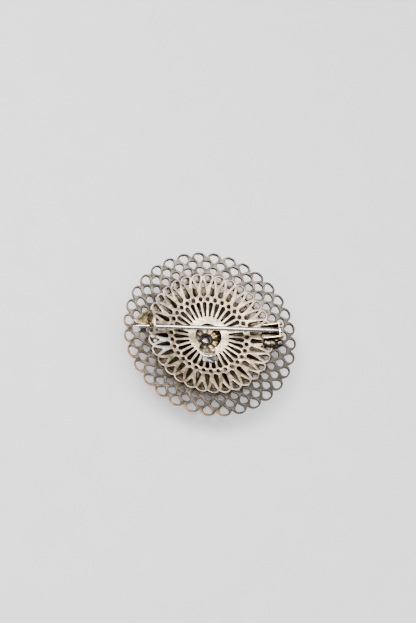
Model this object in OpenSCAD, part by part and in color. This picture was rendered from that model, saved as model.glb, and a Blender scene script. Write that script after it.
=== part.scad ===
// Round filigree brooch with a pin back. It lies on its front: the stone's flat table is at Z = 0
// and the back, with the hinge, the pin and the catch, looks up (+Z).
// X runs along the closed pin, from its point (-X) to its hinge (+X). All sizes are in millimetres.

/* [Overall] */
// Radius to the outermost point of the openwork border
outer_r = 23; // [22:0.1:24]
// Height of the border's rim above the stone's table
rim_z = 8.6; // [8.2:0.1:9.2]
// Number of repeats round the border and round the rosette
repeats = 32; // [32]

/* [Openwork border] */
// Angle of the first border loop from the pin's line, in degrees
net_turn = 4.3; // [0:0.1:11]
// Thickness of the border strip
net_t = 0.8; // [0.6:0.05:0.9]
// Radius of each outer loop
loop_r = 2.19; // [2.15:0.01:2.25]
// Inner radius of the border
net_in_r = 14.9; // [14.7:0.1:15.2]

/* [Back rosette] */
// Angle of the first petal from the pin's line, in degrees
rosette_turn = -2.2; // [-11:0.1:0]
// Thickness of the rosette's sheet
rosette_t = 0.5; // [0.4:0.05:0.55]
// Radius of the hole in the middle
hole_r = 3.4; // [3.2:0.1:3.6]
// Radius of the ring of small round holes
ring_r = 10.1; // [9.9:0.1:10.3]
// Diameter of each small round hole
ring_hole_d = 1.02; // [0.7:0.05:1.1]
// Radius to the outermost point of the petals
petal_r = 16.8; // [16.7:0.05:16.9]
// Radius of each petal's round end
petal_round_r = 2; // [1.9:0.05:2.1]

/* [Front] */
// Outer radius of the large flower
flower_r = 15.3; // [13:0.1:15.5]
// Number of petals on the large flower
flower_petals = 16; // [12:1:20]
// Outer radius of the small flower
small_flower_r = 8.6; // [7.5:0.1:9]
// Number of petals on the small flower
small_petals = 8; // [6:1:10]
// Radius of the stone at its girdle
stone_r = 3.05; // [2.8:0.05:3.1]
// Number of claws that hold the stone
claws = 6; // [4:1:8]

/* [Pin and hinge] */
// Distance of the pin's line from the brooch's middle
pin_y = 0.4; // [0.2:0.1:0.6]
// Height of the pin's axis above the rim
pin_h = 1.1; // [1.1:0.05:1.25]
// Radius of the pin along its straight middle length
pin_r = 0.6; // [0.5:0.01:0.64]
// Position of the hinge rivet along X
hinge_x = 18.2; // [18:0.1:18.6]
// Position of the pin's point along X
pin_tip_x = -20.9; // [-21.2:0.1:-20]
// Radius of the hinge rivet
rivet_r = 0.4; // [0.38:0.01:0.42]
// Distance between the middles of the two hinge ears
ear_gap = 3.65; // [3.5:0.05:3.8]

/* [Catch] */
// Position of the catch hook along X
catch_x = -15.9; // [-16.1:0.1:-15.6]
// Radius of the hook's arch, to the middle of its strip
hook_r = 3; // [2.9:0.05:3.1]
// Width of the hook's strip along the pin
hook_w = 1.2; // [1:0.1:1.4]

/* [Hidden] */
$fn = 48;

step = 360 / repeats;
cut = 30;                     // taller than the whole brooch, for cutters
side_in = 0.97;               // straight sides start this share of a round end's radius off its middle

// Heights below are measured from the rim, negative towards the front.
// Each sheet's profile is a list of [radius, height of its back face].
net_line = [[14, -2.05], [17.5, -0.75], [outer_r + 0.5, 0.05]];
rosette_line = [[2, -3], [ring_r, -2.15], [17.5, -0.2]];
cup_top = -3.23;
cup_floor = -5.25;
sheet_t = 0.35;
tube_r = 1.75;
tube_bore_r = 1.38;
tube_back = -4.95;
tube_front = -6.95;
post_r = 0.98;
stack_gap = 0.02;             // a hair of air between stacked sheets
flower_back = cup_floor - sheet_t - stack_gap;
small_back = flower_back - sheet_t - stack_gap;
setting_back = small_back - sheet_t - stack_gap;

girdle_low = -7.75;
girdle_high = -7.55;
table_r = 1.9;
claw_r = 0.28;

lip_at = [-0.7, -3.7];
lip_notch_r = 2.1;
lip_wire_r = 0.24;

ear_t = 0.45;
ear_boss_r = 0.85;
base_t = 0.35;
base_top = 0;
eye_w = 1.4;
eye_r = 0.85;
eye_bore_r = rivet_r + 0.08;  // loose, so that the pin can sway sideways out of the catch
ear_bore_r = rivet_r + 0.05;
head_pin_r = 0.66;
catch_pin_r = 0.5;

hook_t = 0.4;
hook_y = pin_y + 0.8;         // middle of the arch
hook_z = 0.4;
hook_lip_angle = 33;          // how far the arch stops short of a half circle, on the open side
plate_t = 0.3;

// ---- helpers ----

module from_rim() { translate([0, 0, rim_z]) children(); }

module around(n, turn = 0) {
    for (i = [0 : n - 1]) rotate(turn + i * 360 / n) children();
}

// A sheet turned from a back-face line, with its thickness measured downwards.
module turned_sheet(line, t) {
    rotate_extrude($fn = 128)
        polygon(concat(line, [for (i = [len(line) - 1 : -1 : 0]) line[i] - [0, t]]));
}

// Cuts a turned sheet to a flat pattern, straight through.
module pierced(line, t) {
    intersection() {
        turned_sheet(line, t);
        translate([0, 0, -cut / 2]) linear_extrude(cut) children();
    }
}

// A drop with its round end at r and its point at tip, both along the radius.
module drop(r, round_r, tip) {
    translate([r, 0]) circle(round_r, $fn = 32);
    polygon([[r, -round_r], [r, round_r], [tip, 0]]);
}

// A long hole with a round end at r. Its sides run straight through each of the stations, which
// are [radius, half width, shift sideways].
module tapered_hole(r, round_r, stations) {
    left = [for (at = stations) [at[0], at[2] + at[1]]];
    right = [for (i = [len(stations) - 1 : -1 : 0]) [stations[i][0], stations[i][2] - stations[i][1]]];
    translate([r, 0]) circle(round_r, $fn = 32);
    polygon(concat([[r, side_in * round_r]], left, right, [[r, -side_in * round_r]]));
}

// A fan-shaped cell: two round shoulders at r, each spread off the axis, and a blunt point at tip.
module cell(r, spread, round_r, tip) {
    tip_r = 0.12;
    slant = [r - tip, spread];
    lean = atan2(slant.y, slant.x) + acos((tip_r - round_r) / norm(slant));
    side = [cos(lean), sin(lean)];
    point = [tip, 0] + tip_r * side;
    shoulder = [r, spread] + side_in * round_r * side;
    for (turn = [-1, 1]) translate([r, turn * spread]) circle(round_r, $fn = 32);
    polygon([point, shoulder, [shoulder.x, -shoulder.y], [point.x, -point.y]]);
}

module washer_2d(r_out, r_in) {
    difference() {
        circle(r_out, $fn = 96);
        circle(r_in, $fn = 96);
    }
}

// ---- openwork stampings ----

module net_pattern() {
    difference() {
        union() {
            washer_2d(outer_r - 1.6, net_in_r);
            around(repeats) translate([outer_r - loop_r, 0]) circle(loop_r);
        }
        around(repeats) cell(21.63, 0.34, 0.88, 20.25);
        around(repeats, step / 2) cell(19.75, 0.3, 0.8, 18.45);
        around(repeats) cell(17.95, 0.24, 0.74, 16.75);
        around(repeats, step / 2) cell(16.3, 0.16, 0.64, 15.5);
    }
}

module outer_net() {
    color("darkkhaki") from_rim() rotate(net_turn) pierced(net_line, net_t) net_pattern();
}

module rosette_pattern() {
    petal_at = petal_r - petal_round_r;
    difference() {
        union() {
            washer_2d(petal_at + 0.7, hole_r);
            around(repeats) translate([petal_at, 0]) circle(petal_round_r);
        }
        around(repeats) {
            cell(15.73, 0.35, 0.57, 13.88);
            translate([ring_r, 0]) circle(d = ring_hole_d, $fn = 24);
        }
        around(repeats, step / 2) {
            tapered_hole(11.65, 0.66, [[13.5, 0.42, 0], [15.05, 0.1, 0]]);
            tapered_hole(8.85, 0.53, [[5.45, 0.2, 0.1]]);
        }
        rotate(-rosette_turn) translate(lip_at) circle(lip_notch_r);
    }
}

module back_rosette() {
    color("antiquewhite")
        from_rim() rotate(rosette_turn) pierced(rosette_line, rosette_t) rosette_pattern();
}

// Solder tacks under the webs between petals, down to the border.
module joint_solder() {
    tack_at = 15.6;
    tack_r = 0.34;
    tack_low = -1.62;
    tack_h = 0.57;
    color("gray") from_rim() around(8, rosette_turn + step / 2)
        translate([tack_at, 0, tack_low]) cylinder(h = tack_h, r = tack_r, $fn = 24);
}

// ---- middle and front ----

// Gold cup behind the rosette's hole. Its flange is soldered to the rosette.
module centre_cup() {
    flange_out = 5.2;
    wall_top = 4.7;
    wall_low = 3.9;
    color("goldenrod") from_rim() rotate_extrude($fn = 96) polygon([
        [tube_r + 0.02, cup_floor], [wall_low, cup_floor], [wall_top, cup_top - sheet_t],
        [wall_top, cup_top], [flange_out, cup_top + 0.05], [flange_out, cup_top - sheet_t],
        [wall_top + sheet_t, cup_top - sheet_t], [wall_low + sheet_t, cup_floor - sheet_t],
        [tube_r + 0.02, cup_floor - sheet_t]
    ]);
}

// Hollow rivet that clamps the cup, both flowers and the stone's setting.
module centre_tube() {
    flare_r = 2.05;
    color("dimgray") from_rim() rotate_extrude($fn = 64) polygon([
        [tube_bore_r, tube_front], [tube_bore_r, tube_back], [tube_r, tube_back],
        [tube_r, setting_back - 0.37], [flare_r, setting_back - 0.37], [flare_r, tube_front]
    ]);
}

// Solid post inside the hollow rivet, with its worked-over end towards the front.
module centre_post() {
    post_back = -5.65;
    post_head_r = 1.28;
    color("silver") from_rim() rotate_extrude($fn = 64) polygon([
        [0, tube_front], [post_head_r, tube_front], [post_head_r, tube_front + 0.25],
        [post_r, tube_front + 0.25], [post_r, post_back], [0, post_back]
    ]);
}

module flower_pattern(r, n) {
    petal_r = r * sin(180 / n) * 1.02;
    difference() {
        union() {
            circle(r - petal_r, $fn = 96);
            around(n) translate([r - petal_r, 0]) circle(petal_r);
        }
        circle(tube_r + 0.02);
        around(n, 180 / n) drop(r * 0.5, r * 0.035, r * 0.78);
    }
}

module front_flower() {
    line = [[1, flower_back], [6, flower_back], [flower_r + 1, flower_back + 1.2]];
    color("goldenrod")
        from_rim() rotate(16.5) pierced(line, sheet_t) flower_pattern(flower_r, flower_petals);
}

module inner_flower() {
    line = [[1, small_back], [4.2, small_back], [small_flower_r + 1, small_back - 0.6]];
    color("gold")
        from_rim() rotate(5) pierced(line, sheet_t) flower_pattern(small_flower_r, small_petals);
}

// Claw cup: a turned floor and wall, with claws that close over the stone's edge.
module claw_setting() {
    wall_in = stone_r + 0.03;
    wall_out = wall_in + 0.3;
    claw_top = -8.15;
    color("gold") from_rim() {
        rotate_extrude($fn = 64) polygon([
            [tube_r + 0.02, setting_back], [wall_out, setting_back], [wall_out, girdle_low],
            [wall_in, girdle_low], [wall_in, setting_back - 0.35],
            [tube_r + 0.02, setting_back - 0.35]
        ]);
        around(claws) difference() {
            translate([wall_in, 0, claw_top]) cylinder(h = 1.2, r = claw_r, $fn = 24);
            translate([0, 0, girdle_low]) cylinder(h = 2, r = wall_in + 0.05, $fn = 64);
            translate([0, 0, claw_top - 1]) cylinder(h = 1.42, r1 = 1.9, r2 = stone_r - 0.02, $fn = 64);
        }
    }
}

// Round faceted stone: its flat table is the face that the brooch rests on.
module centre_stone() {
    culet_r = 0.5;
    culet_z = -7;
    color("lightcyan") from_rim() rotate_extrude($fn = 64) polygon([
        [0, -rim_z], [table_r, -rim_z], [stone_r, girdle_low], [stone_r, girdle_high],
        [culet_r, culet_z], [0, culet_z]
    ]);
}

// ---- repairs round the hole ----

// Bright rolled lip round the worn notch in the hole's edge.
module hole_lip() {
    lip_z = -2.72;
    color("white") from_rim() translate([lip_at[0], lip_at[1], lip_z]) rotate(205)
        rotate_extrude(angle = 130, $fn = 64)
            translate([lip_notch_r + 0.05, 0]) circle(lip_wire_r, $fn = 24);
}

// A low spherical cap of solder, with its flat side on height z.
module solder_cap(x, y, z, cap_r, cap_h) {
    ball_r = (cap_r * cap_r + cap_h * cap_h) / (2 * cap_h);
    translate([x, y, z]) intersection() {
        translate([0, 0, cap_h - ball_r]) sphere(ball_r, $fn = 96);
        cylinder(h = cap_h + 1, r = cap_r + 1, $fn = 48);
    }
}

module lip_solder() {
    color("gray") from_rim() {
        solder_cap(-1.5, -6.75, -2.51, 0.9, 0.32);
        solder_cap(-0.1, -6.95, -2.5, 1, 0.36);
        solder_cap(1.3, -6.55, -2.52, 0.75, 0.28);
    }
}

// ---- hinge and pin ----

// Base plate with two ears. Each ear swells to a round boss at the rivet.
module hinge_fork() {
    base_x = 13.6;
    base_end = 19;
    ear_x = 13.8;
    ear_start_h = 0.45;
    boss_x = hinge_x - ear_x;
    color("wheat") from_rim() {
        translate([base_x, pin_y - ear_gap / 2 - ear_t / 2, base_top - base_t])
            cube([base_end - base_x, ear_gap + ear_t, base_t]);
        for (side = [-1, 1])
            translate([ear_x, pin_y + side * ear_gap / 2 + ear_t / 2, 0]) rotate([90, 0, 0])
                linear_extrude(ear_t) difference() {
                    union() {
                        polygon([
                            [0, base_top], [0, ear_start_h], [boss_x - 1.2, pin_h + 0.35],
                            [boss_x, pin_h + 0.6], [boss_x + 0.8, pin_h], [boss_x + 0.8, base_top]
                        ]);
                        translate([boss_x, pin_h]) circle(ear_boss_r);
                    }
                    translate([boss_x, pin_h]) circle(ear_bore_r);
                }
    }
}

module hinge_rivet() {
    head_r = 0.66;
    head_t = 0.22;
    shank = ear_gap + ear_t + 0.1;
    color("gold") from_rim() translate([hinge_x, pin_y + shank / 2, pin_h]) rotate([90, 0, 0]) {
        cylinder(h = shank, r = rivet_r);
        translate([0, 0, -head_t]) cylinder(h = head_t, r = head_r);
        translate([0, 0, shank]) cylinder(h = head_t, r = head_r);
    }
}

// Dark lumpy solder beside the lower ear.
module hinge_solder() {
    color("dimgray") from_rim() hull() {
        translate([14.7, -2.6, -0.5]) sphere(1.1, $fn = 20);
        translate([16.5, -2.75, -0.45]) sphere(1.25, $fn = 20);
        translate([18.6, -2.4, -0.65]) sphere(1, $fn = 20);
    }
}

// Steel wire with an eye at the hinge, straight in its middle length, drawn to a point.
module pin_stem() {
    neck_x = 10;
    point_x = -17.6;
    color("lightsteelblue") from_rim() translate([0, pin_y, pin_h]) difference() {
        union() {
            rotate([0, -90, 0]) rotate_extrude($fn = 48) polygon([
                [0, -hinge_x], [head_pin_r, -hinge_x], [pin_r, -neck_x], [pin_r, neck_x],
                [catch_pin_r, -point_x], [0.08, -pin_tip_x], [0, -pin_tip_x]
            ]);
            translate([hinge_x, eye_w / 2, 0]) rotate([90, 0, 0]) cylinder(h = eye_w, r = eye_r);
        }
        translate([hinge_x, eye_w, 0]) rotate([90, 0, 0]) cylinder(h = 2 * eye_w, r = eye_bore_r);
    }
}

// ---- catch ----

module catch_plate() {
    plate_top = 0;
    color("goldenrod") from_rim() translate([0, 0, plate_top - plate_t]) linear_extrude(plate_t)
        polygon([
            [catch_x + 0.7, 5.6], [catch_x - 0.6, 5.4], [-20.2, 2.5], [-19.6, 1.8],
            [catch_x + 0.7, 1.1]
        ]);
}

// Strip bent to an arch over the pin. Its lip stops short, so the pin leaves sideways under it.
module catch_hook() {
    leg_low = 0;
    color("lightyellow") from_rim() translate([catch_x, hook_y, 0]) {
        translate([0, 0, hook_z]) rotate([90, 0, 90]) rotate_extrude(angle = 180 - hook_lip_angle)
            translate([hook_r - hook_t / 2, -hook_w / 2]) square([hook_t, hook_w]);
        translate([-hook_w / 2, hook_r - hook_t / 2, leg_low])
            cube([hook_w, hook_t, hook_z - leg_low]);
    }
}

module catch_solder() {
    color("silver") from_rim() {
        solder_cap(-15.3, -1.35, -0.72, 0.95, 0.34);
        solder_cap(-14.6, -2.7, -0.95, 0.85, 0.3);
        solder_cap(catch_x, hook_y + hook_r + 0.4, -0.05, 0.62, 0.35);
    }
}

outer_net();
back_rosette();
joint_solder();
centre_cup();
centre_tube();
centre_post();
front_flower();
inner_flower();
claw_setting();
centre_stone();
hole_lip();
lip_solder();
hinge_fork();
hinge_rivet();
hinge_solder();
pin_stem();
catch_plate();
catch_hook();
catch_solder();
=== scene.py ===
"""Round filigree brooch lying on its front: the looks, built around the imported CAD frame.

Shapes are modelled in millimetres, with heights measured from the border's rim, as in the CAD
source. place() turns them into metres in the CAD frame.
"""
import math

import bmesh
import bpy
from mathutils import Matrix, Vector, noise


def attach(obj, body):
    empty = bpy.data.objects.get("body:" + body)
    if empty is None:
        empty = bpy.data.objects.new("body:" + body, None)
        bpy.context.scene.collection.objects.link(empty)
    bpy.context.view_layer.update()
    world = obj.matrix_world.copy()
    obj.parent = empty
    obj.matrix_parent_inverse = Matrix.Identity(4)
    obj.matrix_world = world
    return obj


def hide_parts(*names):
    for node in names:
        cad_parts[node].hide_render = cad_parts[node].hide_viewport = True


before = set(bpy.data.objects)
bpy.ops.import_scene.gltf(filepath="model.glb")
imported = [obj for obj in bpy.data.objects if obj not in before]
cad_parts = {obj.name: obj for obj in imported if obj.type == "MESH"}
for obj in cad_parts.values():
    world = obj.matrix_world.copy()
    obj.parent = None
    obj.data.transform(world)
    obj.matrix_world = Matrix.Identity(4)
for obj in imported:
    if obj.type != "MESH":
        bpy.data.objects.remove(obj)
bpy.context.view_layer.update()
scene = bpy.context.scene

# Without a seed, noise_vector() shifts its pattern by the clock.
noise.seed_set(1)

# ---- sizes in millimetres, the same as the CAD model's ----

MM = 0.001
RIM_Z = 8.6
REPEATS = 32
STEP = 2 * math.pi / REPEATS

OUTER_R = 23.0
LOOP_R = 2.19
NET_IN_R = 14.9
NET_T = 0.8
NET_TURN = math.radians(4.3)
NET_LINE = [(14.0, -2.05), (17.5, -0.75), (23.5, 0.05)]
# Each row's cell, from the outside in: x of its shoulders, half their spread, their radius, tip.
NET_CELLS = (
    (21.63, 0.34, 0.88, 20.25),
    (19.75, 0.30, 0.80, 18.45),
    (17.95, 0.24, 0.74, 16.75),
    (16.3, 0.16, 0.64, 15.5),
)

ROSETTE_T = 0.5
ROSETTE_TURN = math.radians(-2.2)
ROSETTE_LINE = [(2.0, -3.0), (10.1, -2.15), (17.5, -0.2)]
HOLE_R = 3.4
RING_R = 10.1
RING_HOLE_R = 0.51
PETAL_R = 16.8
PETAL_ROUND_R = 2.0
PETAL_CELL = (15.73, 0.35, 0.57, 13.88)
LONG_DROP = ((11.65, 0.66), (13.5, 0.42), (14.98, 0.1))
SLOT_START = 5.65
SLOT_START_R = 0.22
SLOT_END = (8.85, 0.53)
SLOT_SKEW = 0.1
TACKS = 8
TACK_AT_R = 15.6

NOTCH_AT = (-0.7, -3.7)
NOTCH_R = 2.1
NOTCH_MARGIN = 0.65
LIP_Z = -2.7
LIP_R = 0.24

CUP_TOP = -3.23
CUP_FLOOR = -5.25
CUP_R = 4.7
CUP_FLANGE_R = 5.2
CUP_LOBES = 5
SHEET_T = 0.35
SHEET_GAP = 0.02
STACK = SHEET_T + SHEET_GAP
FLOWER_BACK = CUP_FLOOR - STACK
SMALL_BACK = FLOWER_BACK - STACK
SETTING_BACK = SMALL_BACK - STACK
FLOWER_R = 15.3
FLOWER_PETALS = 16
FLOWER_TURN = math.radians(16.5)
SMALL_R = 8.6
SMALL_PETALS = 8
SMALL_TURN = math.radians(5)

TUBE_R = 1.75
TUBE_BORE_R = 1.38
TUBE_FLARE_R = 2.05
TUBE_BACK = -4.95
TUBE_FRONT = -6.95
SHEET_HOLE_R = TUBE_R + 0.02
POST_R = 0.98
POST_HEAD_R = 1.28
POST_BACK = -5.65

STONE_R = 3.05
TABLE_R = 1.9
GIRDLE_LOW = -7.75
GIRDLE_HIGH = -7.55
CULET_Z = -7.0
SETTING_WALL = 0.3
CLAWS = 6
CLAW_R = 0.28

PIN_Y = 0.4
PIN_H = 1.1
PIN_R = 0.6
PIN_HEAD_R = 0.66
PIN_CATCH_R = 0.5
PIN_TIP_X = -20.9
PIN_POINT_X = -17.6
HINGE_X = 18.2
RIVET_R = 0.4
RIVET_HEAD_R = 0.66
RIVET_HEAD_T = 0.22
EYE_R = 0.85
EYE_BORE_R = 0.48
EYE_W = 1.4
FORK_BASE_X = (13.6, 19.0)
FORK_BASE_T = 0.35
FORK_CORNER_R = 0.5
EAR_GAP = 3.65
EAR_T = 0.45
EAR_BOSS_R = 0.85
EAR_START_X = 13.8
EAR_LOW_Z = -0.12

CATCH_X = -15.9
PLATE_RIGHT_X = CATCH_X + 0.7
PLATE_T = 0.3
HOOK_R = 3.0
HOOK_W = 1.2
HOOK_T = 0.4
HOOK_Y = PIN_Y + 0.8
HOOK_Z = 0.4
HOOK_LIP_ANGLE = math.radians(33)

TO_FRAME = Matrix.Translation((0, 0, RIM_Z * MM)) @ Matrix.Scale(MM, 4)
ON_SIDE = Matrix.Rotation(math.pi / 2, 4, "X")
UP = Vector((0, 0, 1))
SMOOTH_ANGLE = math.radians(42)
ALL_SMOOTH = math.pi


# ---- outlines, as lists of (x, y) ----

def arc(centre, radius, start, end, count):
    """count + 1 points round part of a circle, both ends included."""
    return [
        (
            centre[0] + radius * math.cos(start + (end - start) * i / count),
            centre[1] + radius * math.sin(start + (end - start) * i / count),
        )
        for i in range(count + 1)
    ]


def circle(centre, radius, count=24):
    return arc(centre, radius, 0, 2 * math.pi, count)[:-1]


def belt(*rounds, skew=0.0, count=12):
    """The outline round circles of (x, radius), in rising x, as a tight belt would lie on them.

    Their middles are on the X axis, apart from the first one's, which is skew off it.
    """
    first, last = rounds[0], rounds[-1]
    leans = [math.acos((r0 - r1) / (x1 - x0)) for (x0, r0), (x1, r1) in zip(rounds, rounds[1:])]
    under, over = [], []
    for (x, r), before, after in zip(rounds[1:-1], leans, leans[1:]):
        under += arc((x, 0), r, -before, -after, 2)
        over = arc((x, 0), r, after, before, 2) + over
    back = arc((first[0], skew), first[1], leans[0], 2 * math.pi - leans[0], count)
    front = arc((last[0], 0), last[1], -leans[-1], leans[-1], count)
    return back + under + front + over


def fan(x, spread, shoulder_r, tip, tip_r=0.12):
    """The outline of a fan-shaped cell: two round shoulders at x and a blunt point at tip."""
    away = math.hypot(x - tip, spread)
    lean = math.atan2(spread, x - tip) + math.acos((tip_r - shoulder_r) / away)
    left = arc((x, spread), shoulder_r, 0, lean, 12)
    right = arc((x, -spread), shoulder_r, -lean, 0, 12)
    return right + left + arc((tip, 0), tip_r, lean, 2 * math.pi - lean, 8)


def box_outline(x_range, half_width, corner_r):
    """A rectangle about the X axis with round corners."""
    low_x, high_x = x_range[0] + corner_r, x_range[1] - corner_r
    y = half_width - corner_r
    points = []
    for quarter, centre in enumerate(((high_x, y), (low_x, y), (low_x, -y), (high_x, -y))):
        points += arc(centre, corner_r, math.radians(90 * quarter), math.radians(90 * quarter + 90), 6)
    return points


def turned(points, angle):
    c, s = math.cos(angle), math.sin(angle)
    return [(x * c - y * s, x * s + y * c) for x, y in points]


def around(points, count, first=0.0):
    """count copies of an outline, evenly turned about the middle, starting at angle first."""
    return [turned(points, first + i * 2 * math.pi / count) for i in range(count)]


def scalloped(apex_r, lobe_r, count, per_lobe=14):
    """The outside of a ring of round lobes that meet each other."""
    half = math.pi / count
    centre = apex_r - lobe_r
    root_r = centre * math.cos(half) + math.sqrt(lobe_r ** 2 - (centre * math.sin(half)) ** 2)
    end = math.acos((root_r ** 2 - centre ** 2 - lobe_r ** 2) / (2 * centre * lobe_r))
    lobe = arc((centre, 0), lobe_r, -end, end, per_lobe)[:-1]
    return [point for copy in around(lobe, count) for point in copy]


def notched_hole(hole_r, notch_at, notch_r, count=64):
    """The outline of a round hole joined with a smaller one at its edge."""
    away = math.hypot(*notch_at)
    toward = math.atan2(notch_at[1], notch_at[0])
    a = math.acos((hole_r ** 2 + away ** 2 - notch_r ** 2) / (2 * hole_r * away))
    b = math.acos((notch_r ** 2 + away ** 2 - hole_r ** 2) / (2 * notch_r * away))
    main = arc((0, 0), hole_r, toward + a, toward + 2 * math.pi - a, count)
    bite = arc(notch_at, notch_r, toward - math.pi + b, toward + math.pi - b, count // 2)
    return main[:-1] + bite[:-1]


def domed_strip(width, thickness, count=20):
    """The section of a strip with a domed outer face and a nearly flat inner one."""
    points = []
    for x, y in circle((0, 0), 1.0, count):
        height = y if y > 0 else -abs(y) ** 0.4
        points.append((width / 2 * x, thickness / 2 * height))
    return points


# ---- mesh tools ----

def clamped(value):
    return max(0.0, min(1.0, value))


def between(line, r):
    """Height on a line of (radius, height) points."""
    for (r0, z0), (r1, z1) in zip(line, line[1:]):
        if r <= r1:
            return z0 + (z1 - z0) * (r - r0) / (r1 - r0)
    return line[-1][1]


def finished_mesh(work, name):
    """Turns a bmesh into a mesh and frees it."""
    mesh = bpy.data.meshes.new(name)
    work.to_mesh(mesh)
    work.free()
    return mesh


def evaluated(data, name, prepare=None):
    """The mesh of a curve or mesh once its settings and modifiers are worked out."""
    holder = bpy.data.objects.new(name, data)
    scene.collection.objects.link(holder)
    if prepare:
        prepare(holder)
    bpy.context.view_layer.update()
    graph = bpy.context.evaluated_depsgraph_get()
    mesh = bpy.data.meshes.new_from_object(holder.evaluated_get(graph))
    bpy.data.objects.remove(holder)
    return mesh


def plate(outlines, thickness, edge, rounds=2):
    """A flat sheet with rounded edges and its back face at height 0.

    The first outline is the outside, and the others are holes.
    """
    curve = bpy.data.curves.new("plate", "CURVE")
    curve.dimensions = "2D"
    curve.fill_mode = "BOTH"
    curve.extrude = thickness / 2 - edge
    curve.bevel_depth = edge
    curve.bevel_resolution = rounds
    curve.offset = -edge
    for points in outlines:
        spline = curve.splines.new("POLY")
        spline.points.add(len(points) - 1)
        for target, (x, y) in zip(spline.points, points):
            target.co = (x, y, 0, 1)
        spline.use_cyclic_u = True
    mesh = evaluated(curve, "plate")
    bpy.data.curves.remove(curve)
    weld(mesh)
    for vertex in mesh.vertices:
        vertex.co.z -= thickness / 2
    return mesh


def weld(mesh, distance=0.002):
    work = bmesh.new()
    work.from_mesh(mesh)
    bmesh.ops.remove_doubles(work, verts=work.verts, dist=distance)
    bmesh.ops.recalc_face_normals(work, faces=work.faces)
    work.to_mesh(mesh)
    work.free()
    mesh.materials.clear()


def bend(mesh, rule):
    """Moves every vertex to rule(position)."""
    for vertex in mesh.vertices:
        vertex.co = rule(vertex.co)


def dish(mesh, line, wobble=0.03):
    """Lifts a flat sheet onto a line of (radius, height), with the slight waves of old metal."""
    def rule(co):
        height = between(line, math.hypot(co.x, co.y))
        return co + Vector((0, 0, height)) + wobble * noise.noise_vector(co * 0.35)
    bend(mesh, rule)


def lathe(profile, count=64, flute=None):
    """A closed solid turned about Z from a closed profile of (radius, height) points.

    flute, if given, is a rule that turns (radius, height, angle) into a new radius and height.
    """
    work = bmesh.new()
    rings = []
    for i in range(count):
        angle = 2 * math.pi * i / count
        ring = []
        for r, z in profile:
            if flute:
                r, z = flute(r, z, angle)
            ring.append(work.verts.new((r * math.cos(angle), r * math.sin(angle), z)))
        rings.append(ring)
    steps = len(profile)
    for i in range(count):
        here, there = rings[i], rings[(i + 1) % count]
        for j in range(steps):
            k = (j + 1) % steps
            work.faces.new((here[j], there[j], there[k], here[k]))
    bmesh.ops.remove_doubles(work, verts=work.verts, dist=0.0005)
    bmesh.ops.dissolve_degenerate(work, edges=work.edges, dist=0.0005)
    bmesh.ops.recalc_face_normals(work, faces=work.faces)
    return finished_mesh(work, "lathe")


def rounded(profile, radius, steps=4):
    """A closed profile with each corner rounded by up to radius."""
    points = []
    count = len(profile)
    for i in range(count):
        before, here, after = (Vector(profile[(i + k) % count]) for k in (-1, 0, 1))
        back, forth = before - here, after - here
        reach = min(radius, back.length * 0.48, forth.length * 0.48)
        start, end = here + back.normalized() * reach, here + forth.normalized() * reach
        for k in range(steps + 1):
            t = k / steps
            spot = start * (1 - t) ** 2 + here * 2 * t * (1 - t) + end * t * t
            points.append((spot.x, spot.y))
    return points


def sweep(path, section):
    """A solid swept along path, a list of (place, side, up, scale) with unit side and up."""
    work = bmesh.new()
    rings = []
    for spot, side, up, scale in path:
        rings.append([work.verts.new(spot + side * a * scale + up * b * scale) for a, b in section])
    count = len(section)
    for here, there in zip(rings, rings[1:]):
        for i in range(count):
            j = (i + 1) % count
            work.faces.new((here[i], here[j], there[j], there[i]))
    work.faces.new(rings[0][::-1])
    work.faces.new(rings[-1])
    bmesh.ops.recalc_face_normals(work, faces=work.faces)
    return finished_mesh(work, "sweep")


def remeshed(mesh, voxel, smooth=2):
    """The mesh as one even skin."""
    def add_modifiers(holder):
        skin = holder.modifiers.new("skin", "REMESH")
        skin.mode = "VOXEL"
        skin.voxel_size = voxel
        relax = holder.modifiers.new("relax", "SMOOTH")
        relax.factor = 0.5
        relax.iterations = smooth
    return evaluated(mesh, "remesh", add_modifiers)


def blob(places, lumps, seed, voxel=0.07, smooth=6):
    """Run-out solder: flattened balls at places of (x, y, z, radius, height), melted into one.

    lumps is how far its skin swells and sinks.
    """
    work = bmesh.new()
    for x, y, z, radius, height in places:
        shape = Matrix.Translation((x, y, z)) @ Matrix.Diagonal((radius, radius, height, 1))
        bmesh.ops.create_icosphere(work, subdivisions=4, radius=1.0, matrix=shape)
    mesh = remeshed(finished_mesh(work, "blob"), voxel, smooth)
    shift = Vector((seed, 2.3 * seed, -seed))

    def rule(co):
        lift = 0.5 * noise.noise(co * 1.1 + shift) + 0.25 * noise.noise(co * 2.2 + shift)
        return co + lumps * (0.6 * noise.noise_vector(co * 0.9 + shift) + Vector((0, 0, lift)))
    bend(mesh, rule)
    return mesh


def joined(*meshes):
    """Several meshes in one, without welding them."""
    work = bmesh.new()
    for mesh in meshes:
        work.from_mesh(mesh)
    return finished_mesh(work, "joined")


def place(name, mesh, node, material, body="brooch", smooth=SMOOTH_ANGLE):
    """Makes a piece from a mesh in millimetres, in place of a CAD node."""
    mesh.transform(TO_FRAME)
    mesh.name = name
    mesh.materials.append(material)
    piece = bpy.data.objects.new(name, mesh)
    scene.collection.objects.link(piece)
    mesh.shade_smooth()
    if smooth < ALL_SMOOTH:
        mesh.set_sharp_from_angle(angle=smooth)
    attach(piece, body)
    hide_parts(node)


# ---- materials ----

def darker(colour, share):
    return tuple(share * c for c in colour)


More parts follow.
